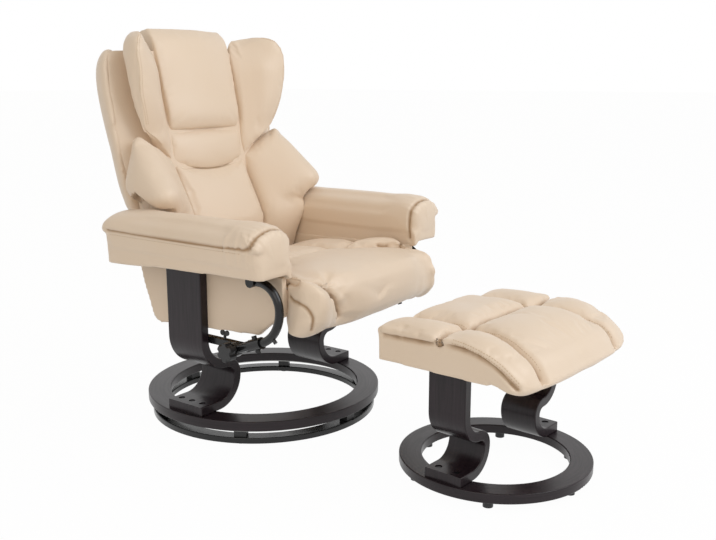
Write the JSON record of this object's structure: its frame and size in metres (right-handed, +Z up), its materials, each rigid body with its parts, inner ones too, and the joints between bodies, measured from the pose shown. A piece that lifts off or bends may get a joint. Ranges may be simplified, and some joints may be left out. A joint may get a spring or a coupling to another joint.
{
  "type": "swivel recliner with footstool",
  "caption": "Swivel recliner on a ring base with bent wood legs, cream leather cushions, winged back and arms that ride on levers, with a matching footstool.",
  "frame": {"origin": "bottom centre of the box around the chair and its footstool, on the floor", "axes": "+Z up; the sitter faces -Y, towards the footstool; +X is the sitter's left"},
  "size_m": [0.7362, 1.2516, 0.9838],
  "materials": {
    "cream_leather": "soft matte grain",
    "dark_wood": "satin lacquer",
    "plywood": "raw",
    "black_steel": "satin",
    "bare_steel": "ground",
    "bolt_steel": "black oxide",
    "black_plastic": "moulded"
  },
  "bodies": {
    "floor_base": {"floor_pads": "black_plastic", "floor_ring": "black_steel", "spacer_blocks": "black_plastic", "lower_race": "bare_steel"},
    "ball_race": {"ball_cage": "black_plastic", "bearing_balls": "bare_steel"},
    "swivel_frame": {"upper_race": "bare_steel", "wood_ring": "dark_wood", "right_leg": "dark_wood", "left_leg": "dark_wood", "leg_bolts": "bolt_steel", "right_side_bar": "black_steel", "left_side_bar": "black_steel", "wing_screws": "black_plastic", "pivot_bolts": "black_steel", "seat_box": "cream_leather", "seat_panel": "plywood", "seat_cushion": "cream_leather", "right_seat_hinge": "black_steel", "left_seat_hinge": "black_steel", "hinge_pins": "bare_steel"},
    "back": {"back_board": "plywood", "right_back_strap": "black_steel", "left_back_strap": "black_steel", "back_shell": "cream_leather", "back_panel": "cream_leather", "neck_roll": "cream_leather", "head_pillow": "cream_leather", "right_bolster": "cream_leather", "left_bolster": "cream_leather", "right_wing": "cream_leather", "left_wing": "cream_leather", "right_arm_plate": "black_steel", "left_arm_plate": "black_steel"},
    "right_arm": {"right_arm_frame": "plywood", "right_arm_skirt": "cream_leather", "right_arm_pad": "cream_leather", "right_arm_hanger": "black_steel"},
    "right_lever": {"right_pivot_arm": "black_steel", "right_lever_tube": "black_steel", "right_clamp_sleeve": "black_steel"},
    "right_knob": {"right_knob": "black_plastic"},
    "left_arm": {"left_arm_frame": "plywood", "left_arm_skirt": "cream_leather", "left_arm_pad": "cream_leather", "left_arm_hanger": "black_steel"},
    "left_lever": {"left_pivot_arm": "black_steel", "left_lever_tube": "black_steel", "left_clamp_sleeve": "black_steel"},
    "left_knob": {"left_knob": "black_plastic"},
    "footstool": {"stool_ring": "dark_wood", "stool_feet": "black_plastic", "right_stool_leg": "dark_wood", "left_stool_leg": "dark_wood", "stool_bolts": "bolt_steel", "stool_apron": "cream_leather", "stool_board": "plywood", "stool_cushion": "cream_leather"}
  },
  "joints": [
    {"name": "swivel", "type": "hinge", "parent": "floor_base", "child": "swivel_frame", "pos_m": [0, 0.30545, 0.038], "axis": [0, 0, 1], "continuous": true},
    {"name": "race_turn", "type": "hinge", "parent": "floor_base", "child": "ball_race", "pos_m": [0, 0.30545, 0.038], "axis": [0, 0, 1], "continuous": true},
    {"name": "back_recline", "type": "hinge", "parent": "swivel_frame", "child": "back", "pos_m": [0, 0.46545, 0.285], "axis": [-1, 0, 0], "range_deg": [0, 30]},
    {"name": "right_arm_level", "type": "hinge", "parent": "back", "child": "right_arm", "pos_m": [-0.246, 0.39995, 0.45566], "axis": [-1, 0, 0], "range_deg": [-30, 0]},
    {"name": "right_lever_swing", "type": "hinge", "parent": "swivel_frame", "child": "right_lever", "pos_m": [-0.285, 0.13345, 0.249], "axis": [-1, 0, 0], "range_deg": [0, 30]},
    {"name": "right_knob_turn", "type": "hinge", "parent": "swivel_frame", "child": "right_knob", "pos_m": [-0.305, 0.13345, 0.249], "axis": [-1, 0, 0], "range_deg": [-120, 120]},
    {"name": "left_arm_level", "type": "hinge", "parent": "back", "child": "left_arm", "pos_m": [0.246, 0.39995, 0.45566], "axis": [-1, 0, 0], "range_deg": [-30, 0]},
    {"name": "left_lever_swing", "type": "hinge", "parent": "swivel_frame", "child": "left_lever", "pos_m": [0.285, 0.13345, 0.249], "axis": [-1, 0, 0], "range_deg": [0, 30]},
    {"name": "left_knob_turn", "type": "hinge", "parent": "swivel_frame", "child": "left_knob", "pos_m": [0.305, 0.13345, 0.249], "axis": [1, 0, 0], "range_deg": [-120, 120]},
    {"name": "footstool_pull", "type": "slide", "parent": "floor_base", "child": "footstool", "axis": [0, -1, 0], "range_m": [0, 0.3]}
  ],
  "couplings": [
    {"joint": "race_turn", "follows": "swivel", "ratio": 0.5},
    {"joint": "right_arm_level", "follows": "back_recline", "ratio": -1},
    {"joint": "right_lever_swing", "follows": "back_recline", "ratio": 1},
    {"joint": "left_arm_level", "follows": "back_recline", "ratio": -1},
    {"joint": "left_lever_swing", "follows": "back_recline", "ratio": 1}
  ]
}
